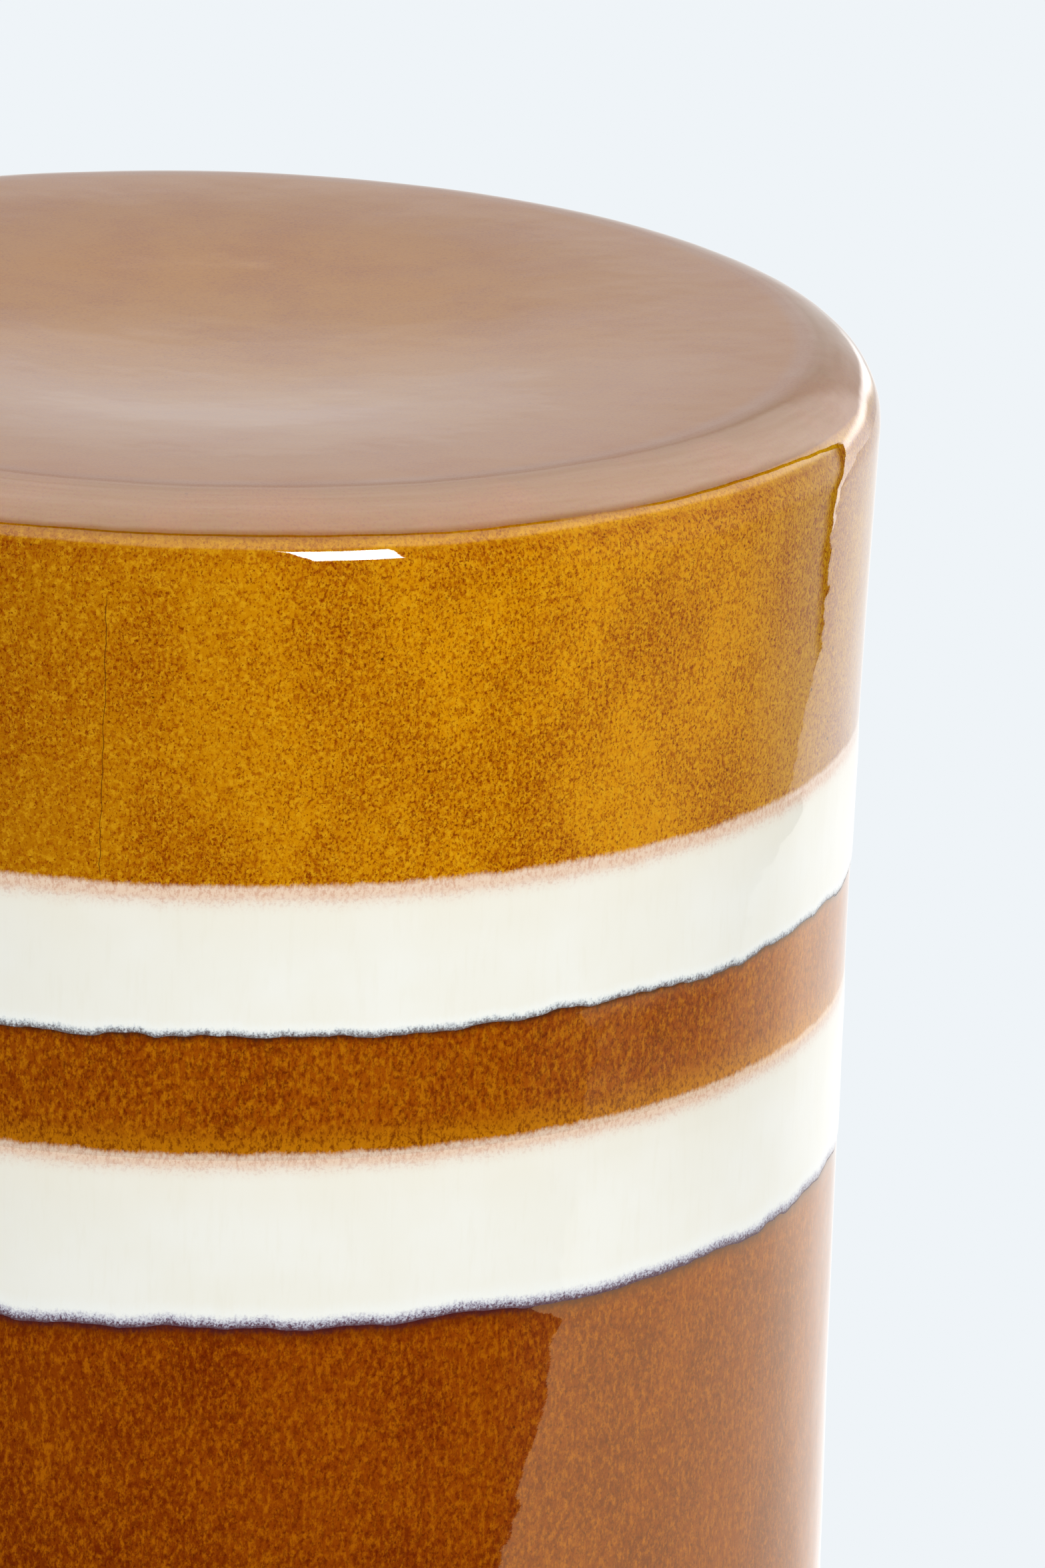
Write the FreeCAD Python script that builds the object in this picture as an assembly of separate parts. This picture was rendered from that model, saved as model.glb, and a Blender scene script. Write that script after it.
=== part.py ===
"""Ceramic garden stool: a waisted stoneware drum with a dished seat, glazed in bands.

The clay is three pressed pieces, a capped seat, a wall and an in-turned foot ring. They meet in
half-lap joints that are luted with slip, and a coil of clay is smeared over each joint inside.
Five glaze coats lie on the clay, edge to edge: amber over the seat and shoulder, cream, brown,
cream, and brown down to the foot, which is left bare. Four rubber pads keep it off the floor.

Lengths are millimetres, +Z is up, and the origin is on the floor under the centre of the seat.
Every surface of clay and glaze follows one half outline at its own depth, so a depth of 0 is the
face of the amber and brown glaze, and a greater depth lies further into the clay.
"""

import FreeCAD
import Part

import math
import os

# Outline of the glazed stool. The foot is the widest, and the waist and the rim are set in from it
height = 450.0
foot_radius = 170.0
waist_inset = 3.4
waist_height = 275.0
rim_inset = 0.7
shoulder_radius = 20.0
dish_depth = 8.0

# Glaze coats, from the crest of the seat down
glaze_thickness = 0.8
cream_proud = 0.3
cream_feather = 9.0
crown_drop = 97.0
upper_cream_width = 37.0
middle_brown_width = 31.5
lower_cream_width = 44.0
bare_foot_height = 6.0

# Clay
clay_thickness = 10.0
skirt_depth = 46.0
foot_ring_height = 40.0
lap_length = 9.0
slip_gap = 0.4
foot_edge_radius = 4.0
flange_thickness = 12.0
flange_opening_radius = 122.0
flange_edge_radius = 5.0
flange_corner_radius = 10.0

# Coils smeared over the joints inside
coil_width = 24.0
coil_bulge = 4.5

# Rubber pads under the foot
pad_count = 4
pad_diameter = 24.0
pad_thickness = 3.0
pad_bevel = 0.6
pad_first_angle = 45.0

# Depths and heights that follow from the sizes above
clay_face = glaze_thickness
clay_back = glaze_thickness + clay_thickness
lap_face = glaze_thickness + clay_thickness / 2 - slip_gap / 2
lap_back = lap_face + slip_gap
cream_face = -cream_proud
seat_joint_z = height - skirt_depth
foot_joint_z = pad_thickness + foot_ring_height
crown_z = height - crown_drop
upper_cream_z = crown_z - upper_cream_width
middle_brown_z = upper_cream_z - middle_brown_width
lower_cream_z = middle_brown_z - lower_cream_width
base_glaze_z = pad_thickness + bare_foot_height

# Heights where one piece or coat meets the next, and where the wall's two arcs meet
seams = sorted(
    [
        seat_joint_z,
        crown_z,
        upper_cream_z,
        middle_brown_z,
        lower_cream_z,
        waist_height,
        foot_joint_z,
        base_glaze_z,
    ],
    reverse=True,
)

# Crest of the seat, where the dish ends and the shoulder roll begins
crest_radius = foot_radius - rim_inset - shoulder_radius
roll_z = height - shoulder_radius

# The dish is a hollow arc and a rounded arc of one radius that meet halfway out
dish_run = crest_radius / 2
dish_bow = (dish_run**2 + (dish_depth / 2) ** 2) / dish_depth

# The wall is two long arcs that both stand upright at the waist: the upper one runs tangent into
# the shoulder roll, and the lower one reaches the foot radius at the floor
waist_radius = foot_radius - waist_inset
waist_step = waist_radius - crest_radius
waist_rise = roll_z - waist_height
upper_bow = (waist_step**2 + waist_rise**2 - shoulder_radius**2) / (2 * (shoulder_radius - waist_step))
lower_bow = (waist_inset**2 + waist_height**2) / (2 * waist_inset)


def point(radius, z):
    """A point of the half section, which lies in the XZ plane."""
    return FreeCAD.Vector(radius, 0, z)


def line(start, end):
    return Part.LineSegment(start, end).toShape()


def arc(centre, radius, start, end):
    """The arc of a circle, less than half of it, that joins two of its points."""
    circle = Part.Circle(centre, FreeCAD.Vector(0, -1, 0), radius)
    first = circle.parameter(start)
    last = circle.parameter(end)
    if (last - first) % (2 * math.pi) > math.pi:
        first, last = last, first
    return Part.ArcOfCircle(circle, first, last).toShape()


def around(centre, radius, degrees):
    """The point of a circle at an angle above the outward horizontal."""
    angle = math.radians(degrees)
    return point(centre.x + radius * math.cos(angle), centre.z + radius * math.sin(angle))


def swing(centre, radius, start_degrees, end_degrees):
    """An arc of a circle, from one angle to the other."""
    start = around(centre, radius, start_degrees)
    end = around(centre, radius, end_degrees)
    return arc(centre, radius, start, end)


def revolve(edges):
    """The ring or disc that a closed half section sweeps round the axis of the stool."""
    wire = Part.Wire(Part.__sortEdges__(edges))
    axis = FreeCAD.Vector(0, 0, 1)
    return Part.Face(wire).revolve(FreeCAD.Vector(0, 0, 0), axis, 360)


def bow_at(z):
    """The radius of the wall's arc at a height: above the waist or below it."""
    return upper_bow if z >= waist_height else lower_bow


def wall_point(z, depth):
    """Where the wall stands at a height, at a depth under the glaze."""
    bow = bow_at(z)
    reach = math.sqrt((bow + depth) ** 2 - (z - waist_height) ** 2)
    return point(waist_radius + bow - math.copysign(reach, bow), z)


def wall_run(top_z, bottom_z, depth):
    """The wall's edges from one height down to another, split at every seam, so that a coat's back
    and the clay under it match edge for edge."""
    stops = [top_z, *(z for z in seams if bottom_z < z < top_z), bottom_z]
    edges = []
    for upper_z, lower_z in zip(stops, stops[1:]):
        bow = bow_at((upper_z + lower_z) / 2)
        centre = point(waist_radius + bow, waist_height)
        ends = (wall_point(upper_z, depth), wall_point(lower_z, depth))
        edges.append(arc(centre, abs(bow + depth), *ends))
    return edges


def cap_run(bottom_z, depth):
    """The edges from the middle of the seat, over the dish and shoulder, down to a height."""
    floor_centre = point(0, height - dish_depth + dish_bow)
    lip_centre = point(crest_radius, height - dish_bow)
    tilt = math.degrees(math.asin(dish_run / dish_bow))
    roll_centre = point(crest_radius, roll_z)
    roll_end = -math.degrees(math.asin(waist_rise / (upper_bow + shoulder_radius)))
    roll_foot = around(roll_centre, shoulder_radius - depth, roll_end)
    return [
        swing(floor_centre, dish_bow + depth, -90, tilt - 90),
        swing(lip_centre, dish_bow - depth, tilt + 90, 90),
        swing(roll_centre, shoulder_radius - depth, 90, roll_end),
        *wall_run(roll_foot.z, bottom_z, depth),
    ]


def seat():
    """The pressed seat: dish, rolled shoulder and a skirt whose tongue drops inside the wall."""
    tongue_z = seat_joint_z - lap_length
    face = cap_run(seat_joint_z, clay_face)
    back = cap_run(tongue_z, clay_back)
    step = [
        line(wall_point(seat_joint_z, clay_face), wall_point(seat_joint_z, lap_back)),
        *wall_run(seat_joint_z, tongue_z, lap_back),
        line(wall_point(tongue_z, lap_back), wall_point(tongue_z, clay_back)),
    ]
    middle = line(
        point(0, height - dish_depth - clay_face), point(0, height - dish_depth - clay_back)
    )
    return revolve([middle, *face, *step, *back])


def wall():
    """The waisted wall, rebated inside at both ends for the tongues of the seat and foot ring."""
    top_rebate_z = seat_joint_z - lap_length - slip_gap
    bottom_rebate_z = foot_joint_z + lap_length + slip_gap
    return revolve(
        [
            *wall_run(seat_joint_z, foot_joint_z, clay_face),
            line(wall_point(foot_joint_z, clay_face), wall_point(foot_joint_z, lap_face)),
            *wall_run(bottom_rebate_z, foot_joint_z, lap_face),
            line(wall_point(bottom_rebate_z, lap_face), wall_point(bottom_rebate_z, clay_back)),
            *wall_run(top_rebate_z, bottom_rebate_z, clay_back),
            line(wall_point(top_rebate_z, clay_back), wall_point(top_rebate_z, lap_face)),
            *wall_run(seat_joint_z, top_rebate_z, lap_face),
            line(wall_point(seat_joint_z, lap_face), wall_point(seat_joint_z, clay_face)),
        ]
    )


def foot_ring():
    """The foot: a short wall with an upstanding tongue, and a flange turned in along the floor."""
    under_z = pad_thickness
    flange_top_z = under_z + flange_thickness
    tongue_z = foot_joint_z + lap_length
    edge_top = wall_point(under_z + foot_edge_radius, clay_face)
    edge_centre = point(edge_top.x - foot_edge_radius, edge_top.z)
    corner_top = wall_point(flange_top_z + flange_corner_radius, clay_back)
    corner_centre = point(corner_top.x - flange_corner_radius, corner_top.z)
    lip_x = flange_opening_radius + flange_edge_radius
    upper_lip = point(lip_x, flange_top_z - flange_edge_radius)
    lower_lip = point(lip_x, under_z + flange_edge_radius)
    return revolve(
        [
            *wall_run(foot_joint_z, edge_top.z, clay_face),
            swing(edge_centre, foot_edge_radius, 0, -90),
            line(point(edge_centre.x, under_z), point(lip_x, under_z)),
            swing(lower_lip, flange_edge_radius, -90, -180),
            line(around(lower_lip, flange_edge_radius, 180), around(upper_lip, flange_edge_radius, 180)),
            swing(upper_lip, flange_edge_radius, 180, 90),
            line(point(lip_x, flange_top_z), point(corner_centre.x, flange_top_z)),
            swing(corner_centre, flange_corner_radius, -90, 0),
            *wall_run(tongue_z, corner_top.z, clay_back),
            line(wall_point(tongue_z, clay_back), wall_point(tongue_z, lap_back)),
            *wall_run(tongue_z, foot_joint_z, lap_back),
            line(wall_point(foot_joint_z, lap_back), wall_point(foot_joint_z, clay_face)),
        ]
    )


def joint_coil(seam_z):
    """A clay coil pressed flat over the seam of a joint, on the inside of the wall."""
    top = wall_point(seam_z + coil_width / 2, clay_back)
    bottom = wall_point(seam_z - coil_width / 2, clay_back)
    belly = point(wall_point(seam_z, clay_back).x - coil_bulge, seam_z)
    face = Part.Arc(top, belly, bottom).toShape()
    return revolve([*wall_run(top.z, bottom.z, clay_back), face])


def crown_glaze():
    """The amber coat over the whole seat, the shoulder and the top of the wall."""
    middle = line(point(0, height - dish_depth), point(0, height - dish_depth - clay_face))
    end = line(wall_point(crown_z, 0), wall_point(crown_z, clay_face))
    return revolve([middle, *cap_run(crown_z, 0), end, *cap_run(crown_z, clay_face)])


def cream_glaze(top_z, bottom_z):
    """A cream coat: it starts level with the amber, thickens as it runs down and ends in a bead."""
    full_z = top_z - cream_feather
    bead_z = bottom_z + cream_proud
    bead_start = wall_point(bead_z, cream_face)
    bead_centre = point(bead_start.x - cream_proud, bead_z)
    bead_end = point(bead_centre.x, bottom_z)
    return revolve(
        [
            line(wall_point(top_z, 0), wall_point(full_z, cream_face)),
            *wall_run(full_z, bead_z, cream_face),
            arc(bead_centre, cream_proud, bead_start, bead_end),
            line(bead_end, wall_point(bottom_z, clay_face)),
            *wall_run(top_z, bottom_z, clay_face),
            line(wall_point(top_z, clay_face), wall_point(top_z, 0)),
        ]
    )


def brown_glaze(top_z, bottom_z):
    """A brown coat of even thickness, butted against the cream above it."""
    return revolve(
        [
            *wall_run(top_z, bottom_z, 0),
            line(wall_point(bottom_z, 0), wall_point(bottom_z, clay_face)),
            *wall_run(top_z, bottom_z, clay_face),
            line(wall_point(top_z, clay_face), wall_point(top_z, 0)),
        ]
    )


def floor_pads():
    """Rubber discs stuck at even steps round the middle of the foot's flat underside."""
    outer_flat = wall_point(pad_thickness + foot_edge_radius, clay_face).x - foot_edge_radius
    inner_flat = flange_opening_radius + flange_edge_radius
    circle_radius = (outer_flat + inner_flat) / 2
    pads = []
    for index in range(pad_count):
        angle = math.radians(pad_first_angle + index * 360 / pad_count)
        centre = FreeCAD.Vector(circle_radius * math.cos(angle), circle_radius * math.sin(angle), 0)
        disc = Part.makeCylinder(pad_diameter / 2, pad_thickness, centre)
        floor_edge = [e for e in disc.Edges if e.Closed and e.BoundBox.ZMax < pad_thickness / 2]
        pads.append(disc.makeChamfer(pad_bevel, floor_edge))
    return Part.makeCompound(pads)


def build():
    """Every piece of the stool under its own name."""
    return {
        "seat": seat(),
        "wall": wall(),
        "foot_ring": foot_ring(),
        "upper_joint_coil": joint_coil(seat_joint_z - lap_length - slip_gap / 2),
        "lower_joint_coil": joint_coil(foot_joint_z + lap_length + slip_gap / 2),
        "crown_glaze": crown_glaze(),
        "upper_cream_glaze": cream_glaze(crown_z, upper_cream_z),
        "middle_brown_glaze": brown_glaze(upper_cream_z, middle_brown_z),
        "lower_cream_glaze": cream_glaze(middle_brown_z, lower_cream_z),
        "base_brown_glaze": brown_glaze(lower_cream_z, base_glaze_z),
        "floor_pads": floor_pads(),
    }


os.makedirs("parts", exist_ok=True)
for name, shape in build().items():
    shape.exportStep(f"parts/{name}.step")
    print(f"{name}: {len(shape.Solids)} solid(s), {shape.Volume / 1000:.1f} cm3, valid {shape.isValid()}")
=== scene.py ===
"""Looks of the ceramic garden stool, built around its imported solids, in metres."""

import math
import random

import bmesh
import bpy
from mathutils import Matrix, Vector, noise


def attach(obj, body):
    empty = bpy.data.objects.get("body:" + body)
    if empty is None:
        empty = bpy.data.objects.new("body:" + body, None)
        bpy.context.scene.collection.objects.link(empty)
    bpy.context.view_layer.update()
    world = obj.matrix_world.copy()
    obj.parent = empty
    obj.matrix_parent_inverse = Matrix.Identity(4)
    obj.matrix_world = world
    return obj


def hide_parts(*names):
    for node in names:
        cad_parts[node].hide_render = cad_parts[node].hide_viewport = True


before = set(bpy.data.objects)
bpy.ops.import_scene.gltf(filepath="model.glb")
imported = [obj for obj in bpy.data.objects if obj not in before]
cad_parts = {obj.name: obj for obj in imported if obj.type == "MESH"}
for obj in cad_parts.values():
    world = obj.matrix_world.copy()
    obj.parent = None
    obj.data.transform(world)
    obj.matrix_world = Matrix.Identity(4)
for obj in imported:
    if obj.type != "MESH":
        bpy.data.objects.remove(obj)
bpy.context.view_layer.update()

# Bare clay
# The seat, the wall and the foot ring are pressed from a sandy buff stoneware and luted with slip.
# A coil is smeared over each joint inside. Inside and under the foot the fired clay is left bare.


def linear(red, green, blue):
    """A colour read in 0 to 255, as the light it stands for."""
    return tuple(
        c / 12.92 if c <= 0.04045 else ((c + 0.055) / 1.055) ** 2.4
        for c in (red / 255, green / 255, blue / 255)
    )


class Value:
    """A number that varies over a surface, with arithmetic."""

    def __init__(self, graph, socket):
        self.graph = graph
        self.socket = socket

    def _math(self, operation, *operands):
        inputs = dict(enumerate(operands))
        return self.graph.node("ShaderNodeMath", {"operation": operation}, inputs)

    def __add__(self, other):
        return self._math("ADD", self, other)

    def __radd__(self, other):
        return self._math("ADD", other, self)

    def __sub__(self, other):
        return self._math("SUBTRACT", self, other)

    def __rsub__(self, other):
        return self._math("SUBTRACT", other, self)

    def __mul__(self, other):
        return self._math("MULTIPLY", self, other)

    def __rmul__(self, other):
        return self._math("MULTIPLY", other, self)

    def __truediv__(self, other):
        return self._math("DIVIDE", self, other)

    def __rtruediv__(self, other):
        return self._math("DIVIDE", other, self)

    def __abs__(self):
        return self._math("ABSOLUTE", self)


class Graph:
    """Nodes on one tree, made by asking for the values that they give."""

    def __init__(self, tree):
        self.tree = tree

    def _feed(self, socket, value):
        if isinstance(value, Value):
            self.tree.links.new(value.socket, socket)
        elif socket.type == "RGBA":
            socket.default_value = (*value, 1)
        else:
            socket.default_value = value

    def _socket(self, sockets, key):
        """The socket that has a number or an identifier."""
        if isinstance(key, int):
            return sockets[key]
        return next(s for s in sockets if s.identifier == key)

    def node(self, kind, settings, inputs, output=0):
        """What one output of a new node gives, once the node is set and its inputs are fed."""
        made = self.tree.nodes.new(kind)
        for name, setting in settings.items():
            if name == "stops":
                while len(made.color_ramp.elements) < len(setting):
                    made.color_ramp.elements.new(1)
                for element, (place, colour) in zip(made.color_ramp.elements, setting):
                    element.position = place
                    element.color = (*colour, 1)
            else:
                setattr(made, name, setting)
        for key, value in inputs.items():
            self._feed(self._socket(made.inputs, key), value)
        return Value(self, self._socket(made.outputs, output))

    def place(self):
        """The point's own place on the stool, in metres."""
        return self.node("ShaderNodeTexCoord", {}, {}, "Object")

    def part(self, place, axis):
        """How far a place lies along one axis."""
        return self.node("ShaderNodeSeparateXYZ", {}, {0: place}, "XYZ".index(axis))

    def reach(self, place):
        """How far a place is from the origin."""
        return self.node("ShaderNodeVectorMath", {"operation": "LENGTH"}, {0: place}, "Value")

    def stretched(self, place, x, y, z):
        """A place with each of its lengths multiplied."""
        inputs = {0: place, 1: (x, y, z)}
        return self.node("ShaderNodeVectorMath", {"operation": "MULTIPLY"}, inputs)

    def noise(self, place, size, detail=2.0, roughness=0.5):
        """Smooth noise from 0 to 1 whose blots are about the given size, in metres."""
        inputs = {"Vector": place, "Scale": 1 / size, "Detail": detail, "Roughness": roughness}
        return self.node("ShaderNodeTexNoise", {}, inputs, 0)

    def between(self, value, low, high):
        """0 at low and 1 at high, smoothly, and level beyond them."""
        settings = {"interpolation_type": "SMOOTHSTEP", "clamp": True}
        return self.node("ShaderNodeMapRange", settings, {0: value, 1: low, 2: high})

    def specks(self, place, spacing, radius, share, softness):
        """1 inside scattered dots of up to a radius, one in a share of the cells of a spacing."""
        inputs = {"Vector": place, "Scale": 1 / spacing}
        distance = self.node("ShaderNodeTexVoronoi", {}, inputs, "Distance")
        colour = self.node("ShaderNodeTexVoronoi", {}, inputs, "Color")
        chance = self.node("ShaderNodeSeparateColor", {}, {0: colour}, 0)
        reach = (chance - (1 - share)) * (radius / spacing / share)
        return self.between(reach - distance, 0, softness)

    def mix(self, amount, under, over, blend="MIX"):
        """One colour laid over another, by an amount from 0 to 1."""
        settings = {"data_type": "RGBA", "blend_type": blend, "clamp_factor": True}
        inputs = {"Factor_Float": amount, "A_Color": under, "B_Color": over}
        return self.node("ShaderNodeMix", settings, inputs, "Result_Color")


class Finish(Graph):
    """A material under construction, on one Principled BSDF."""

    def __init__(self, name, **constants):
        self.material = bpy.data.materials.new(name)
        self.material.use_nodes = True
        super().__init__(self.material.node_tree)
        self.tree.nodes.clear()
        self.shader = self.tree.nodes.new("ShaderNodeBsdfPrincipled")
        output = self.tree.nodes.new("ShaderNodeOutputMaterial")
        self.tree.links.new(self.shader.outputs[0], output.inputs["Surface"])
        for socket, constant in constants.items():
            self.shader.inputs[socket.replace("_", " ")].default_value = constant

    def relief(self, height, depth):
        """Bumps of the given depth, in metres."""
        return self.node("ShaderNodeBump", {}, {"Height": height, "Distance": depth}, 0)

    def feed(self, **sockets):
        """Feeds the shader's sockets with what varies over the surface."""
        for name, value in sockets.items():
            self._feed(self.shader.inputs[name.replace("_", " ")], value)


clay = Finish("stoneware", Roughness=0.85)
clay_place = clay.place()
clay_blush = clay.noise(clay_place, 0.03, 3)
clay_tone = clay.mix(clay_blush, linear(206, 186, 158), linear(186, 160, 128))
clay_grog = clay.between(clay.noise(clay_place, 0.0012, 1), 0.60, 0.72)
clay_tone = clay.mix(clay_grog * 0.5, clay_tone, linear(140, 104, 76))
clay_grit = clay.relief(clay.noise(clay_place, 0.0015, 3), 0.0003)
clay.feed(Base_Color=clay_tone, Normal=clay_grit)

for name in ("seat", "wall", "foot_ring", "upper_joint_coil", "lower_joint_coil"):
    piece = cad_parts[name]
    piece.data.materials.clear()
    piece.data.materials.append(clay.material)

# Amber glaze over the seat, the shoulder and the top of the wall
# The fired pieces are dipped upside down, so the amber covers the dished seat, rolls over the
# shoulder and stops 97 mm down, where the first cream band begins. The coat is 0.8 mm thick.
stool_height = 0.450
foot_radius = 0.170
waist_inset = 0.0034
waist_height = 0.275
rim_inset = 0.0007
shoulder_radius = 0.020
dish_depth = 0.008
coat_thickness = 0.0008
crown_foot = 0.353

waist_radius = foot_radius - waist_inset
crest_radius = foot_radius - rim_inset - shoulder_radius
roll_height = stool_height - shoulder_radius
waist_step = waist_radius - crest_radius
waist_rise = roll_height - waist_height
upper_bow = (
    (waist_step**2 + waist_rise**2 - shoulder_radius**2) / (2 * (shoulder_radius - waist_step))
)
lower_bow = (waist_inset**2 + waist_height**2) / (2 * waist_inset)
roll_end = -math.atan2(waist_rise, waist_step + upper_bow)


def wall_point(height, depth=0.0):
    """The point of the wall's glazed side at a height, so far under its surface."""
    bow = upper_bow if height > waist_height else lower_bow
    reach = (bow + depth) ** 2 - (height - waist_height) ** 2
    return Vector((waist_radius + bow - math.sqrt(reach), 0, height))


def roll_point(angle, depth=0.0):
    """The point of the shoulder whose slope faces the angle above level."""
    reach = shoulder_radius - depth
    x = crest_radius + reach * math.cos(angle)
    return Vector((x, 0, roll_height + reach * math.sin(angle)))


def seat_point(radius, depth=0.0):
    """The point of the dished seat at a radius: hollow in the inner half, crowned in the outer."""
    run = crest_radius / 2
    bow = (run**2 + (dish_depth / 2) ** 2) / dish_depth
    if radius < run:
        bed = stool_height - dish_depth + bow
        return Vector((radius, 0, bed - math.sqrt((bow + depth) ** 2 - radius**2)))
    crest = stool_height - bow
    rise = math.sqrt((bow - depth) ** 2 - (radius - crest_radius) ** 2)
    return Vector((radius, 0, crest + rise))


def steps(start, stop, count):
    """Even steps from start to stop, both ends among them."""
    return [start + (stop - start) * i / count for i in range(count + 1)]


eighth_steps = 90
weld_distance = 2e-6


def turned(outline, closed=True):
    """A shape turned on the stool's axis: an eighth is spun, then doubled up to a full turn."""
    shape = bmesh.new()
    corners = [shape.verts.new(point) for point in outline]
    edges = [shape.edges.new(pair) for pair in zip(corners, corners[1:])]
    if closed:
        edges.append(shape.edges.new((corners[-1], corners[0])))
    turn = math.pi / 4
    bmesh.ops.spin(
        shape, geom=corners + edges, cent=(0, 0, 0), axis=(0, 0, 1), angle=turn,
        steps=eighth_steps, use_merge=False, use_duplicate=False,
    )
    for _ in range(3):
        copied = bmesh.ops.duplicate(shape, geom=shape.verts[:] + shape.edges[:] + shape.faces[:])
        moved = [part for part in copied["geom"] if isinstance(part, bmesh.types.BMVert)]
        around = Matrix.Rotation(turn, 3, "Z")
        bmesh.ops.rotate(shape, verts=moved, cent=(0, 0, 0), matrix=around)
        turn *= 2
    bmesh.ops.remove_doubles(shape, verts=shape.verts, dist=weld_distance)
    bmesh.ops.recalc_face_normals(shape, faces=shape.faces)
    return shape


settle_depth = 0.00013
long_wave = 0.034
short_wave = 0.016


def settle(shape):
    """Gives the outer skin the slow waves, a tenth of a millimetre deep, that the fire leaves."""
    for corner in shape.verts:
        reach = corner.co.xy.length
        height = corner.co.z
        if reach < crest_radius:
            way, skin = Vector((0, 0, 1)), seat_point(reach).z - height
        elif height > roll_height:
            flat = corner.co.xy.normalized() * crest_radius
            way = corner.co - Vector((*flat, roll_height))
            skin = shoulder_radius - way.length
            way.normalize()
        else:
            way = Vector((*corner.co.xy.normalized(), 0))
            skin = wall_point(height).x - reach
        if skin < coat_thickness / 2:
            wave = noise.noise(corner.co / long_wave) + 0.5 * noise.noise(corner.co / short_wave)
            corner.co += way * wave * settle_depth


sharp_edge = math.radians(35)


def finished(name, shape, material, node):
    """Puts the piece made of a shape, its sharp edges kept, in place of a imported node."""
    settle(shape)
    for face in shape.faces:
        face.smooth = True
    for edge in shape.edges:
        edge.smooth = edge.calc_face_angle(0) < sharp_edge
    mesh = bpy.data.meshes.new(name)
    shape.to_mesh(mesh)
    shape.free()
    mesh.materials.append(material)
    piece = bpy.data.objects.new(name, mesh)
    bpy.context.scene.collection.objects.link(piece)
    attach(piece, "root")
    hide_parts(node)


# The underside of the coat, which the clay hides, has fewer rows than the skin.
seat_rows = steps(0, crest_radius, 42)
roll_rows = steps(math.pi / 2, roll_end, 30)
side_rows = steps(roll_point(roll_end).z, crown_foot, 14)
crown_outline = (
    [seat_point(r) for r in seat_rows]
    + [roll_point(a) for a in roll_rows[1:]]
    + [wall_point(z) for z in side_rows[1:]]
    + [wall_point(z, coat_thickness) for z in side_rows[::-7]]
    + [roll_point(a, coat_thickness) for a in roll_rows[-2::-4]]
    + [seat_point(r, coat_thickness) for r in seat_rows[-2::-5]]
    + [seat_point(0, coat_thickness)]
)
crown_shape = turned(crown_outline, closed=False)

# Where a coat stops, it and the coat below melt into each other along a toothed pinkish line. Both
# finishes draw that line from the same noise, so that their teeth fit.
melt_teeth = 0.0022
melt_rise = 0.0010


def melt_height(glaze, place, line):
    """The height over the line where two coats melt together, with fine teeth."""
    fine_teeth = glaze.noise(glaze.stretched(place, 1, 1, 0.5), 0.0009, 3, 0.7)
    teeth = fine_teeth + glaze.noise(place, 0.009, 2) * 0.8
    return glaze.part(place, "Z") - line + (teeth - 0.9) * melt_teeth


def melt_tone(glaze, place):
    """The pinkish colour where two coats melt together, mottled alike in both."""
    blots = glaze.noise(glaze.stretched(place, 1, 1, 0.6), 0.0009, 3, 0.75)
    mottle = glaze.between(blots, 0.44, 0.62)
    return glaze.mix(mottle * 0.55, linear(223, 196, 171), linear(190, 137, 110))


glaze_roughness = 0.022
peel_depth = 0.000009


def glaze_skin(glaze, place):
    """The fine orange peel and slow waves of a fired glaze."""
    peel = glaze.noise(place, 0.0011, 2) * 0.22 + glaze.noise(place, 0.007, 0.6) * 6
    return glaze.relief(peel, peel_depth)


def grain(glaze, place, size, stretch, cloud, low, high):
    """Dark grain that clots more densely where the glaze is cloudy."""
    field = glaze.noise(glaze.stretched(place, 1, 1, stretch), size, 2, 0.65)
    return glaze.between(field + (cloud - 0.5) * 0.22, low, high)


amber = Finish("amber_glaze", Roughness=glaze_roughness, IOR=1.5)
amber_place = amber.place()
amber_x = amber.part(amber_place, "X")
amber_height = amber.part(amber_place, "Z")

# The coat's colour from 40 mm below the crest of the shoulder up to the seat. Painted shade darkens
# the top of the shoulder and the seat, where less light falls, most in a thin line at the seat's
# edge, and a paler band just under the crest is a painted reflection of a strip of light.
amber_body_with_painted_light = [
    (0.000, (0.590, 0.240, 0.0015)), (0.780, (0.580, 0.235, 0.0012)),
    (0.862, (0.500, 0.180, 0.001)), (0.912, (0.640, 0.290, 0.004)),
    (0.938, (0.640, 0.290, 0.004)), (0.972, (0.480, 0.185, 0.001)),
    (0.985, (0.300, 0.098, 0.001)), (1.000, (0.355, 0.124, 0.001)),
]
shoulder_ramp_foot = 0.410
shoulder_ramp_top = 0.4423
rim_wander = (amber.noise(amber_place, 0.02, 2) - 0.5) * 0.0007
up_shoulder_ramp = amber.node("ShaderNodeMapRange", {"clamp": True}, {
    0: amber_height + rim_wander, 1: shoulder_ramp_foot, 2: shoulder_ramp_top})
amber_tone = amber.node("ShaderNodeValToRGB", {"stops": amber_body_with_painted_light}, {0: up_shoulder_ramp}, 0)
on_side = amber.between(amber_height, 0.4425, 0.4395)
# The paler band under the crest, a painted reflection, has less grain.
in_painted_reflection = amber.between(amber_height, 0.4375, 0.4390)
in_painted_reflection = in_painted_reflection * amber.between(amber_height, 0.4418, 0.4405)
grain_share = 0.35 + on_side * (0.65 - in_painted_reflection * 0.45)
shade_side = amber.between(amber_x, 0.085, -0.125)
amber_tone = amber.mix(shade_side * on_side, amber_tone, (0.50, 0.355, 0.5), "MULTIPLY")
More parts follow.
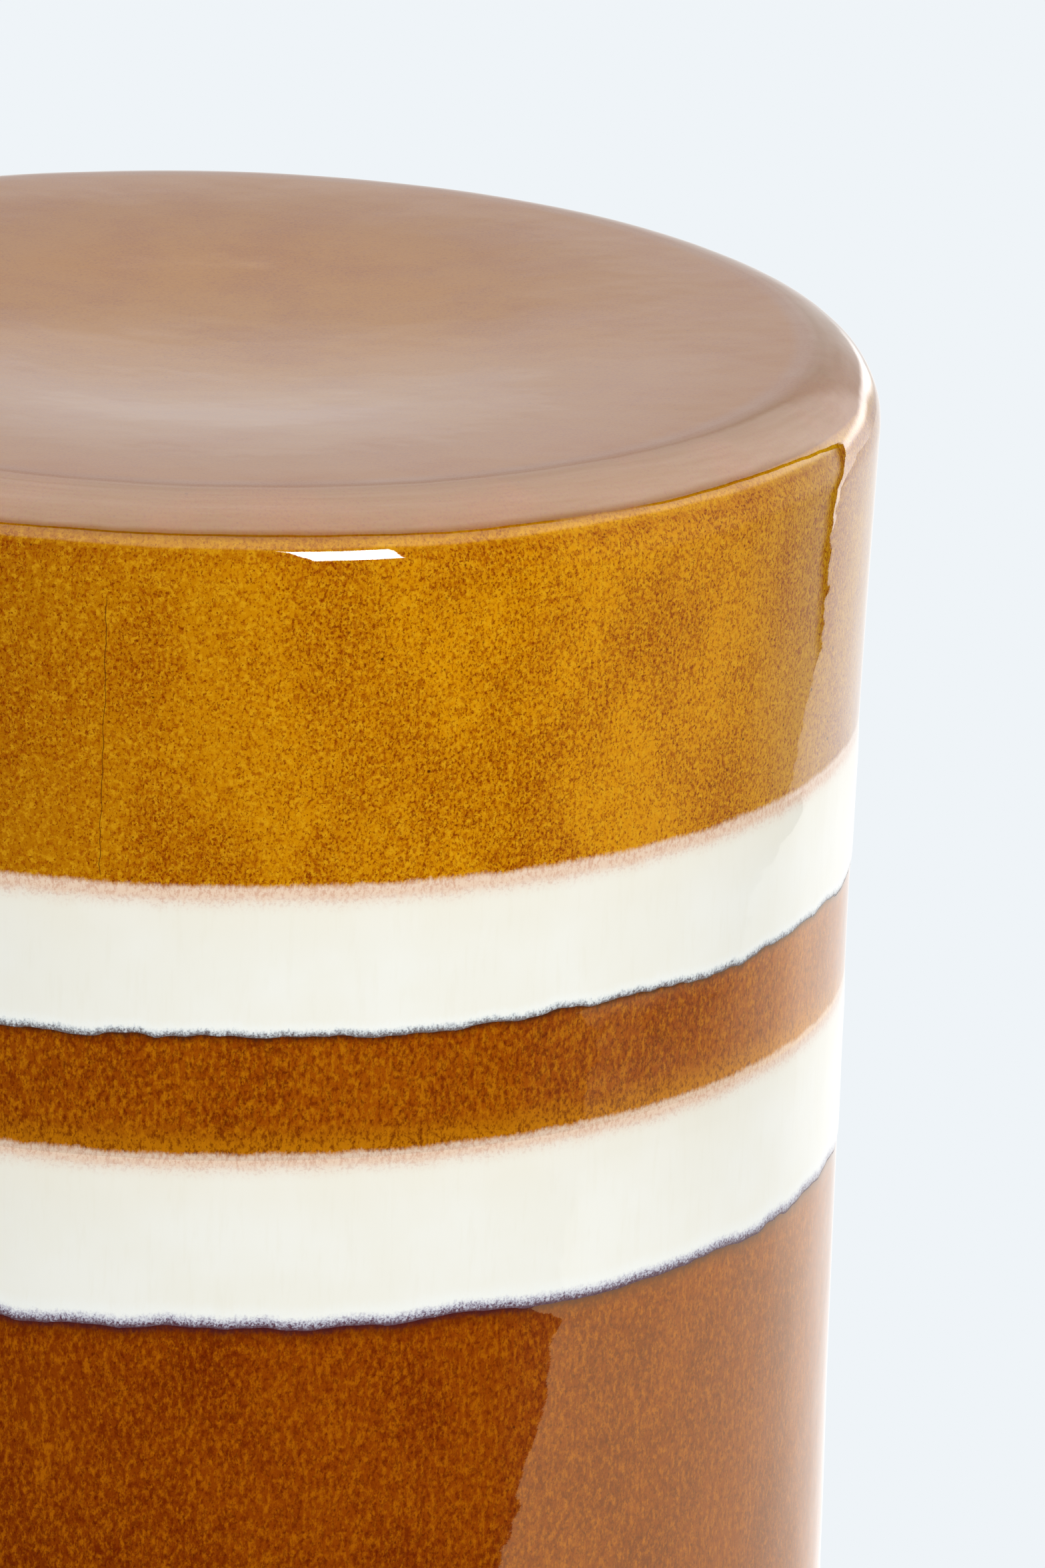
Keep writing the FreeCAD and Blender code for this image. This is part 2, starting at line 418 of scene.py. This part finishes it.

# The glaze pools in the dish. Over the crest of the shoulder painted shade darkens the red and
# green, and a pale bluish ring along the top of the crest is a painted reflection.
dish_middle = (0.01, 0.02, 0)
crest_width = 0.0045
amber_flat = amber.stretched(amber_place, 1, 1, 0)
to_middle = amber.node("ShaderNodeVectorMath", {"operation": "DISTANCE"}, {
    0: amber_flat, 1: dish_middle}, "Value")
pool = amber.between(to_middle, 0.145, 0.030) * (1 - on_side)
amber_tone = amber.mix(pool, amber_tone, (0.430, 0.165, 0.0012))
from_axis = amber.reach(amber_flat)
crest_painted_shade = amber.between(from_axis, crest_radius - 0.001, crest_radius + 0.003) * (1 - on_side)
amber_tone = amber.mix(crest_painted_shade, amber_tone, (0.74, 0.80, 1.0), "MULTIPLY")
crest_painted_reflection = amber.between(abs(from_axis - crest_radius), crest_width, 0.0005)
crest_painted_reflection = crest_painted_reflection * amber.between(amber_height, 0.4465, 0.4485)
amber_tone = amber.mix(crest_painted_reflection * 0.8, amber_tone, (0.345, 0.165, 0.085))
shade_edge = amber.between(amber_x, 0.125, 0.155) * on_side
amber_tone = amber.mix(shade_edge, amber_tone, (0.80, 0.90, 1.0), "MULTIPLY")

# Clouds, three sizes of grain, specks and a few larger dots of iron
amber_cloud = amber.noise(amber.stretched(amber_place, 1, 1, 0.6), 0.030, 3, 0.6)
cloudy = amber.between(amber_cloud, 0.44, 0.62)
amber_tone = amber.mix(cloudy * 0.30, amber_tone, (0.35, 0.105, 0.001))
pale_grain = amber.between(amber.noise(amber_place, 0.0017, 3, 0.7), 0.44, 0.66)
amber_tone = amber.mix(pale_grain * 0.52 * on_side, amber_tone, (0.66, 0.335, 0.008))
soft_grain = grain(amber, amber_place, 0.0009, 0.75, amber_cloud, 0.43, 0.68)
amber_tone = amber.mix(soft_grain * grain_share * 0.70, amber_tone, (0.265, 0.042, 0.0003))
fine_grain = grain(amber, amber_place, 0.0006, 0.7, amber_cloud, 0.53, 0.67)
amber_tone = amber.mix(fine_grain * grain_share * 0.80, amber_tone, (0.170, 0.020, 0.0003))
amber_specks = amber.specks(amber_place, spacing=0.0021, radius=0.00052, share=0.55, softness=0.20)
amber_tone = amber.mix(amber_specks * grain_share * 0.88, amber_tone, (0.105, 0.012, 0.0005))
amber_dots = amber.specks(amber_place, spacing=0.0060, radius=0.0007, share=0.35, softness=0.06)
amber_tone = amber.mix(amber_dots * grain_share * 0.9, amber_tone, (0.055, 0.008, 0.001))

# A stained hairline crack at the front, 8.4 degrees to the left
crack_turn = math.radians(8.4)
crack_wander = (amber.noise(amber_place, 0.009, 3) - 0.5) * 0.003
crack_side = amber_x + math.sin(crack_turn) * waist_radius + crack_wander
crack = amber.between(abs(crack_side), 0.00018, 0.00005)
crack = crack * amber.between(amber_height, 0.3545, 0.358)
crack = crack * amber.between(amber_height, 0.428, 0.424)
crack = crack * amber.between(amber.part(amber_place, "Y"), 0, -0.1)
amber_tone = amber.mix(crack * 0.8, amber_tone, (0.09, 0.022, 0.002))

amber_melt = melt_height(amber, amber_place, crown_foot + melt_rise)
in_melt = amber.between(amber_melt, 0.0016, -0.0002)
amber_tone = amber.mix(in_melt, amber_tone, melt_tone(amber, amber_place))
amber.feed(Base_Color=amber_tone, Normal=glaze_skin(amber, amber_place))
finished("crown", crown_shape, amber.material, "crown_glaze")

# Brown glaze between the cream bands and down to the foot
# The same glaze laid thicker fires brown. Its upper edges run up under the lips of the cream, and
# the last 9 mm over the foot are wiped bare so that the stool doesn't stick to the kiln shelf.
upper_cream_foot = 0.316
middle_brown_foot = 0.2845
lower_cream_foot = 0.2405
base_brown_foot = 0.009
cream_lap = 0.003
lip_steps = 720
lip_waves = [
    (range(3, 16), 5, 0.00022), (range(18, 60), 9, 0.00011), (range(70, 170), 12, 0.00005),
]


def lip_line(seed):
    """The wavy height of a cream lip round the stool, about its level."""
    draw = random.Random(seed)
    runs = [
        (count, size) for counts, chosen, size in lip_waves for count in draw.sample(counts, chosen)
    ]
    waves = [(count, size, draw.uniform(0, 2 * math.pi)) for count, size in runs]
    return [
        sum(
            size * math.cos(count * math.tau * step / lip_steps + start)
            for count, size, start in waves
        )
        for step in range(lip_steps)
    ]


def lip_at(line, corner):
    """The height of a wavy lip beside a corner."""
    return line[round(math.atan2(corner.y, corner.x) / math.tau * lip_steps) % lip_steps]


def marked(shape, level, line):
    """Gives each corner its height over the wavy lip, for the finish to read."""
    layer = shape.verts.layers.float.new("lip")
    for corner in shape.verts:
        corner[layer] = corner.co.z - level - lip_at(line, corner.co)
    return shape


upper_lip = lip_line(11)
lower_lip = lip_line(23)
swell_depth = 0.00013
swell_reach = 0.0055
swell_run = 0.006


def brown_coat(name, lip_level, line, foot, rows, material, node):
    """A brown coat, which swells a little near the cream's lip and runs on up under it."""
    swell_foot = lip_level - swell_run
    heights = steps(lip_level + cream_lap, swell_foot, 12) + steps(swell_foot, foot, rows)[1:]
    outline = []
    for height in heights:
        nearness = min(1, max(0, 1 - (lip_level - height) / swell_reach))
        outline.append(wall_point(height, -swell_depth * nearness**2))
    outline += [wall_point(z, coat_thickness) for z in heights[::-4]]
    shape = marked(turned(outline), lip_level, line)
    finished(name, shape, material, node)


def brown_finish(name, body, pale, deep, melt_line, lip_colour, lip_width):
    """Mottled brown glaze, with a dark line and a painted shadow right under a lip of cream."""
    glaze = Finish(name, Roughness=glaze_roughness, IOR=2.38, Specular_Tint=(1.0, 0.66, 0.30, 1))
    place = glaze.place()
    cloud = glaze.noise(glaze.stretched(place, 1, 1, 0.6), 0.030, 3, 0.6)
    tone = glaze.mix(glaze.between(cloud, 0.40, 0.62) * 0.5, body, deep)
    melt = melt_height(glaze, place, melt_line + melt_rise)
    tone = glaze.mix(glaze.between(melt, 0.0095, 0.0010) * 0.8, tone, (0.56, 0.205, 0.003))
    shade_side = glaze.between(glaze.part(place, "X"), 0.06, -0.125)
    tone = glaze.mix(shade_side, tone, (0.70, 0.60, 0.8), "MULTIPLY")
    pale_grain = glaze.noise(glaze.stretched(place, 1, 1, 0.5), 0.0014, 3, 0.75)
    tone = glaze.mix(glaze.between(pale_grain, 0.42, 0.66) * 0.8, tone, pale)
    soft_grain = grain(glaze, place, 0.0010, 0.6, cloud, 0.42, 0.68)
    tone = glaze.mix(soft_grain * 0.70, tone, (0.130, 0.010, 0.0003))
    specks = glaze.specks(place, spacing=0.0020, radius=0.00050, share=0.5, softness=0.2)
    tone = glaze.mix(specks * 0.55, tone, (0.080, 0.006, 0.0003))
    fine_grain = grain(glaze, place, 0.0006, 0.65, cloud, 0.54, 0.68)
    tone = glaze.mix(fine_grain * 0.55, tone, (0.085, 0.006, 0.0003))
    dots = glaze.specks(place, spacing=0.0062, radius=0.0007, share=0.4, softness=0.08)
    tone = glaze.mix(dots * 0.6, tone, (0.050, 0.008, 0.001))
    lip = glaze.node("ShaderNodeAttribute", {"attribute_name": "lip"}, {}, "Fac")
    teeth = glaze.noise(glaze.stretched(place, 1, 1, 0.5), 0.0011, 3, 0.75)
    under = (teeth - 0.5) * 0.0030 - lip
    # Painted shadow: the brown is darker for a few millimetres under the cream's lip.
    painted_lip_shadow = glaze.between(under, 0.0050 * lip_width, 0.0004)
    tone = glaze.mix(painted_lip_shadow * 0.65, tone, (0.125, 0.018, 0.001))
    at_lip = glaze.between(under, 0.0019 * lip_width, -0.0002)
    tone = glaze.mix(at_lip * 0.9, tone, lip_colour)
    tone = glaze.mix(glaze.between(melt, 0.0014, -0.0002), tone, melt_tone(glaze, place))
    glaze.feed(Base_Color=tone, Normal=glaze_skin(glaze, place))
    return glaze.material


# The base ends in a wiped line instead of a melted one, so its melt lies 6 mm below, out of sight.
melt_below = 0.006
middle_material = brown_finish(
    "middle_brown_glaze", body=(0.34, 0.070, 0.0008), pale=(0.51, 0.165, 0.002),
    deep=(0.26, 0.040, 0.0008), melt_line=middle_brown_foot, lip_colour=(0.060, 0.014, 0.004),
    lip_width=0.50,
)
base_material = brown_finish(
    "base_brown_glaze", body=(0.275, 0.047, 0.0006), pale=(0.45, 0.122, 0.001),
    deep=(0.20, 0.026, 0.0005), melt_line=base_brown_foot - melt_below,
    lip_colour=(0.058, 0.009, 0.012), lip_width=1.0,
)
brown_coat("middle_brown", upper_cream_foot, upper_lip, middle_brown_foot, 10, middle_material,
           "middle_brown_glaze")
brown_coat("base_brown", lower_cream_foot, lower_lip, base_brown_foot, 60, base_material,
           "base_brown_glaze")

# Cream glaze in two bands
# Each band is poured on over the coat below it, stands 0.3 mm proud at its lower lip and runs a
# little there before it freezes, so the lip is rounded and wavy. Its top melts into the coat above.
cream_proud = 0.0003
cream_feather = 0.009
cream_row = 0.0015
lip_height = 0.0012
lip_depth = 0.00012
lip_reach = 0.012
lap_rise = 0.00014
skin_slack = 0.00001


def cream_band(name, top, foot, line, material, node):
    """A cream coat, flush at its top and proud at its wavy lip, which laps over the coat below."""
    heights = steps(top, foot + lip_height, int((top - foot) / cream_row))
    outline = [wall_point(z, -cream_proud * min(1, (top - z) / cream_feather)) for z in heights]
    for share in steps(0, 1, 6)[1:]:
        fall = lip_depth + (cream_proud - lip_depth) * (1 + math.cos(share * math.pi)) / 2
        outline.append(wall_point(foot + lip_height * (1 - share), -fall))
    outline.append(wall_point(foot + cream_lap, -lap_rise))
    outline.append(wall_point(foot + cream_lap, coat_thickness))
    outline += [wall_point(z, coat_thickness) for z in steps(foot + cream_lap, top, 4)[1:]]
    shape = turned(outline)
    for corner in shape.verts:
        skin = wall_point(corner.co.z).x - skin_slack
        if corner.co.xy.length > skin:
            share = 1 - min(1, max(0, (corner.co.z - foot) / lip_reach))
            corner.co.z += lip_at(line, corner.co) * share * share * (3 - 2 * share)
    finished(name, marked(shape, foot, line), material, node)


def cream_finish(name, melt_line, melt_coat, lip_haze, lip_speck, line_colour, lip_width):
    """Cream glaze, speckled and pinkish where it melts into the coat above, dark along its lip."""
    glaze = Finish(name, Roughness=glaze_roughness, IOR=1.5)
    place = glaze.place()
    cloud = glaze.between(glaze.noise(place, 0.02, 3), 0.35, 0.7)
    tone = glaze.mix(cloud * 0.6, (0.780, 0.760, 0.675), (0.800, 0.790, 0.730))
    streaks = glaze.noise(glaze.stretched(place, 1, 1, 0.12), 0.0016, 3, 0.6)
    tone = glaze.mix(glaze.between(streaks, 0.50, 0.72) * 0.13, tone, (0.70, 0.66, 0.53))
    lip = glaze.node("ShaderNodeAttribute", {"attribute_name": "lip"}, {}, "Fac")
    teeth = glaze.noise(glaze.stretched(place, 1, 1, 0.5), 0.0008, 3, 0.7)
    over = (lip + (teeth - 0.5) * 0.0030) / lip_width
    tone = glaze.mix(glaze.between(over, 0.008, 0.0030) * 0.5, tone, (0.82, 0.84, 0.82))
    tone = glaze.mix(glaze.between(over, 0.0042, 0.0010) * 0.85, tone, lip_haze)
    specks = glaze.between(glaze.noise(place, 0.0006, 3, 0.75), 0.46, 0.58)
    tone = glaze.mix(glaze.between(over, 0.0042, 0.0012) * specks * 0.8, tone, lip_speck)
    frayed = 0.30 + specks * 0.6
    tone = glaze.mix(glaze.between(over, 0.0030, 0.0009) * frayed, tone, line_colour)
    tone = glaze.mix(glaze.between(over, 0.0015, 0.0003) * 0.9, tone, line_colour)
    melt = melt_height(glaze, place, melt_line + melt_rise)
    tone = glaze.mix(glaze.between(melt, -0.022, -0.003) * 0.30, tone, (0.76, 0.69, 0.54))
    haze = glaze.between(melt, -0.0080, -0.0004)
    tone = glaze.mix(haze * haze * 0.85, tone, linear(222, 192, 168))
    dust = haze * haze * glaze.between(glaze.noise(place, 0.0009, 3, 0.7), 0.50, 0.62)
    tone = glaze.mix(dust * 0.55, tone, linear(176, 118, 104))
    tone = glaze.mix(glaze.between(melt, -0.0038, -0.0008), tone, melt_tone(glaze, place))
    tone = glaze.mix(glaze.between(melt, -0.0001, 0.0014), tone, melt_coat)
    frosted = glaze_roughness + glaze.between(lip, 0.0012, 0.0005) * 0.4
    glaze.feed(Base_Color=tone, Roughness=frosted, Normal=glaze_skin(glaze, place))
    return glaze.material


upper_cream_material = cream_finish(
    "upper_cream_glaze", melt_line=crown_foot, melt_coat=(0.41, 0.145, 0.0015),
    lip_haze=(0.52, 0.57, 0.60), lip_speck=(0.25, 0.28, 0.32), line_colour=(0.115, 0.080, 0.075),
    lip_width=0.60,
)
lower_cream_material = cream_finish(
    "lower_cream_glaze", melt_line=middle_brown_foot, melt_coat=(0.43, 0.140, 0.003),
    lip_haze=(0.48, 0.49, 0.60), lip_speck=(0.20, 0.165, 0.25), line_colour=(0.080, 0.022, 0.035),
    lip_width=0.95,
)
cream_band("upper_cream", crown_foot, upper_cream_foot, upper_lip, upper_cream_material,
           "upper_cream_glaze")
cream_band("lower_cream", middle_brown_foot, lower_cream_foot, lower_lip, lower_cream_material,
           "lower_cream_glaze")

# Floor pads
# Four soft black rubber discs are glued under the foot ring, so that the clay doesn't grind on a
# stone or wooden floor.
rubber = Finish("rubber", Roughness=0.7)
rubber_place = rubber.place()
rubber_bloom = rubber.noise(rubber_place, 0.004, 3)
rubber_tone = rubber.mix(rubber_bloom, linear(66, 64, 62), linear(52, 50, 49))
rubber_skin = rubber.relief(rubber.noise(rubber_place, 0.0006, 2), 0.00005)
rubber.feed(Base_Color=rubber_tone, Normal=rubber_skin)
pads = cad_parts["floor_pads"]
pads.data.materials.clear()
pads.data.materials.append(rubber.material)

# Camera
# It stands 2.36 m in front of the stool and 0.64 m above the seat, turned 2 degrees to the right of
# the stool's axis, tipped 18 degrees down and rolled 2 degrees, with a long lens.
camera_distance = 2.3563
camera_height = 1.0905
camera_turn = 0.0347
camera_tip = 0.31259
camera_roll = 0.03636

scene = bpy.context.scene
camera = bpy.data.objects.new("camera", bpy.data.cameras.new("camera"))
scene.collection.objects.link(camera)
scene.camera = camera
camera.data.lens = 221.0
camera.data.sensor_width = 36.0
camera.data.clip_end = 60.0
camera.rotation_mode = "QUATERNION"
camera.location = (0, -camera_distance, camera_height)
facing = Matrix.Rotation(-camera_turn, 4, "Z") @ Matrix.Rotation(math.pi / 2 - camera_tip, 4, "X")
camera.rotation_quaternion = (facing @ Matrix.Rotation(camera_roll, 4, "Z")).to_quaternion()

# Studio
# The stool stands on a white table in a white light tent, open towards the camera, with one softbox
# to the right of the camera. The tent glows most overhead and least behind, and the room is dark.
backdrop = linear(239, 244, 248)
tent_light = 0.66
scene.view_settings.view_transform = "Standard"
world = bpy.data.worlds.new("studio")
scene.world = world
world.use_nodes = True
world.cycles.sampling_method = "NONE"
studio = Graph(world.node_tree)
ray = studio.node("ShaderNodeTexCoord", {}, {}, "Generated")
ray_x, ray_y, ray_z = (studio.part(ray, axis) for axis in "XYZ")
to_degrees = 180 / math.pi
turn_of_ray = studio.node("ShaderNodeMath", {"operation": "ARCTAN2"}, {0: ray_x, 1: ray_y})
bearing = abs(turn_of_ray) * to_degrees
height = studio.node("ShaderNodeMath", {"operation": "ARCSINE"}, {0: ray_z}) * to_degrees


def ramped(value, stops):
    """A value that follows another one, from pairs of the two, the first from 0 to 1."""
    top = max(light for _, light in stops)
    grey_stops = [(place, (light / top,) * 3) for place, light in stops]
    grey = studio.node("ShaderNodeValToRGB", {"stops": grey_stops}, {0: value}, 0)
    return studio.node("ShaderNodeSeparateColor", {}, {0: grey}, 0) * top


def along(stops):
    """A value that follows the bearing from straight behind, from (degrees, value) pairs."""
    return ramped(bearing / 180, [(degrees / 180, value) for degrees, value in stops])


# The tent's edge, by its height over level, and its cloth inside, with folds and a bright strip
tent_edge = along([
    (0, 0), (42.3, 0), (43.3, 92), (44.4, 94.2), (47.1, 96.8), (52.8, 102.5), (59.2, 108.3),
    (71.2, 116.3), (85.7, 122.7), (97.9, 129.3), (111.5, 133.4), (125, 136.8), (138.5, 140.5),
    (150, 144.4), (163, 145.8), (180, 147),
]) - 90
over_edge = height - tent_edge
tent_glow = 5.05
glow = ramped(ray_y * 0.5 + 0.5, [
    (0.00, 0.88), (0.33, 0.93), (0.50, 1.00), (0.61, 1.00), (0.70, 0.84), (0.745, 0.77),
    (0.825, 0.62), (0.885, 0.45), (0.928, 0.35), (0.948, 0.205), (0.965, 0.188), (0.983, 0.198),
    (0.995, 0.205), (1.0, 0.200),
]) * tent_glow
edge_fade = along([(0, 0), (44, 0), (50, 0.3), (70, 0.55), (100, 0.62), (180, 0.66)])
folds = studio.noise(ray, 0.075, 2) * 0.30 + 0.85
inside_light = glow * folds * (1 - edge_fade * studio.between(over_edge, 13, 1.5))
strip_light = 2.1
strip_height = along([
    (0, 0), (15, 0.1), (17, 1), (25, 6.5), (33, 6.7), (38, 7.2), (45, 7.1), (180, 7),
]) - 6
strip = studio.between(abs(height - strip_height), 4.4, 0.4)
strip = strip * studio.between(bearing, 8, 19) * studio.between(bearing, 45, 43)
inside_light = inside_light + strip * strip_light

# The room outside, with a lit ledge and a dark slot along the tent's edge
ledge_depth = along([
    (0, 0), (44, 0), (50, 3), (59, 6), (71, 9), (86, 8.5), (112, 11.5), (140, 17), (180, 19),
])
ledge_light = along([
    (0, 0), (47, 1.2), (60, 1.9), (73, 1.5), (88, 1.9), (115, 1.65), (140, 1.5), (180, 1.25),
])
ledge = ledge_light * studio.between(over_edge + ledge_depth, -2.5, 2)
slot_depth = along([(0, 1), (88, 1), (95, 0.25), (101, 0.25), (108, 1), (180, 1)])
slot = studio.between(abs(over_edge), 1.75, 1.35) * slot_depth
room_light = along([
    (0, 1.4), (41.5, 1.4), (43.5, 0.06), (46, 0.06), (49, 1.3), (58, 1.0), (64, 0.72), (73, 0.45),
    (90, 0.4), (112, 0.18), (125, 0.03), (180, 0.015),
]) * (0.5 + studio.between(height, -16, -5) * 0.5)
outside_light = room_light + ledge * studio.between(bearing, 45, 49)
shown = studio.between(over_edge, -0.3, 0.3)
gloss_light = outside_light * (1 - shown) + inside_light * shown
gloss_light = gloss_light * (1 - slot * studio.between(bearing, 43, 45))

# The softbox as the gloss shows it, a patch whose four edges lean a little
softbox_glow = 30.0
left_edge = studio.between(bearing - height * 0.143 - 143.3, 0, 0.5)
right_edge = studio.between(bearing - height * 0.338 - 156.2, 0, -0.5)
lower_edge = studio.between(height - bearing * 0.082 - 7.4, 0, 0.5)
upper_edge = studio.between(height - bearing * 0.115 - 15.7, 0, -0.5)
patch = left_edge * right_edge * (lower_edge * upper_edge) * studio.between(ray_x, 0, 0.01)
gloss_light = gloss_light + patch * softbox_glow
to_gloss = studio.node("ShaderNodeLightPath", {}, {}, "Is Glossy Ray")
to_camera = studio.node("ShaderNodeLightPath", {}, {}, "Is Camera Ray")
grey = studio.node("ShaderNodeCombineXYZ", {}, {0: gloss_light, 1: gloss_light, 2: gloss_light})
lit = studio.mix(to_gloss, (tent_light,) * 3, grey)
lit = studio.mix(to_camera, lit, backdrop)
background = studio.tree.nodes["Background"]
studio.tree.links.new(lit.socket, background.inputs["Color"])


def sheet_on_stage(name, outline, seen_by):
    """The graph of the material of a new flat sheet on the stage, which only some rays see."""
    mesh = bpy.data.meshes.new(name)
    mesh.from_pydata([Vector(corner) for corner in outline], [], [tuple(range(len(outline)))])
    sheet = bpy.data.objects.new(name, mesh)
    scene.collection.objects.link(sheet)
    material = bpy.data.materials.new(name)
    material.use_nodes = True
    mesh.materials.append(material)
    for kind in ("camera", "glossy", "diffuse"):
        setattr(sheet, "visible_" + kind, kind in seen_by)
    sheet.visible_shadow = False
    graph = Graph(material.node_tree)
    graph.tree.nodes.clear()
    return graph


def finish_sheet(graph, surface):
    """Makes a shader the surface of a sheet's material."""
    out = graph.tree.nodes.new("ShaderNodeOutputMaterial")
    graph.tree.links.new(surface.socket, out.inputs["Surface"])


# The table top as the camera sees it: matte near the stool, to take its shadow, and further off
# glowing like the backdrop
floor_reach = 12
matte_reach = 0.19
glow_reach = 0.34
floor = sheet_on_stage("floor", [
    (-floor_reach, -floor_reach, 0), (floor_reach, -floor_reach, 0),
    (floor_reach, floor_reach, 0), (-floor_reach, floor_reach, 0),
], ("camera", "diffuse"))
from_stool = floor.reach(floor.stretched(floor.place(), 1, 1, 0))
floor_glow = floor.node("ShaderNodeEmission", {}, {"Color": backdrop})
floor_matte = floor.node("ShaderNodeBsdfDiffuse", {}, {"Color": (0.93, 0.97, 1.0)})
finish_sheet(floor, floor.node("ShaderNodeMixShader", {}, {
    0: floor.between(from_stool, matte_reach, glow_reach), 1: floor_matte, 2: floor_glow}))

# The table top as the gloss shows it, with its rounded near corner on the right
table_level = -0.001
corner_middle = (0.80, -0.22)
corner_reach = 0.16
table_corner = [
    (corner_middle[0] + corner_reach * math.cos(a), corner_middle[1] + corner_reach * math.sin(a))
    for a in steps(-math.pi / 2, 0, 12)
]
table_outline = [(-2, -0.38)] + table_corner + [(1.05, 0.95), (1.9, 2.2), (-2, 2.2)]
table = sheet_on_stage("table", [(x, y, table_level) for x, y in table_outline], ("glossy",))
table_place = table.place()
table_x = table.part(table_place, "X")
table_y = table.part(table_place, "Y")
turn_on_table = table.node("ShaderNodeMath", {"operation": "ARCTAN2"}, {0: table_x, 1: table_y})
table_bearing = abs(turn_on_table) / math.pi
table_strength = 1.5
table_stops = [
    (0, 1.0), (20, 1.15), (38, 1.42), (46, 1.46), (55, 1.42), (69, 1.1), (81, 0.9), (91, 0.84),
    (104, 0.79), (119, 0.76), (180, 0.6),
]
table_glow = table.node("ShaderNodeValToRGB", {
    "stops": [(degrees / 180, (light / table_strength,) * 3) for degrees, light in table_stops],
}, {0: table_bearing}, 0)
table_far = table.between(table.reach(table_place), 0.72, 0.98)
table_far = table_far * table.between(table_bearing, 0.30, 0.52) * 0.72
table_edge = table.between(table_x, 1.0, 1.2) * table.between(table_y, 1.25, 1.0)
table_far = table_far + table_edge * 0.7 * (1 - table_far)
table_light = table.mix(table_far, table_glow, (0, 0, 0))
finish_sheet(table, table.node("ShaderNodeEmission", {}, {
    "Color": table_light, "Strength": table_strength}))

# The softbox as a lamp, which lights the clay and the glaze's own colour but not the gloss
key_light = 15.0
key_bearing = math.radians(23)
key_rise = math.radians(27.2)
key_away = 2.2
key_width = 2 * key_away * math.tan(math.radians(10.8))
key_height = 2 * key_away * math.tan(math.radians(7.8))
key_aim = Vector((0, 0, 0.4))
key = bpy.data.lights.new("softbox", "AREA")
key.shape = "RECTANGLE"
key.size = key_width
key.size_y = key_height
key.energy = key_light * math.pi * key_width * key_height
softbox = bpy.data.objects.new("softbox", key)
scene.collection.objects.link(softbox)
key_from = Vector((
    math.sin(key_bearing) * math.cos(key_rise),
    -math.cos(key_bearing) * math.cos(key_rise),
    math.sin(key_rise),
))
softbox.location = key_aim + key_from * key_away
softbox.rotation_mode = "QUATERNION"
softbox.rotation_quaternion = key_from.to_track_quat("Z", "Y")
softbox.visible_camera = False
softbox.visible_glossy = False
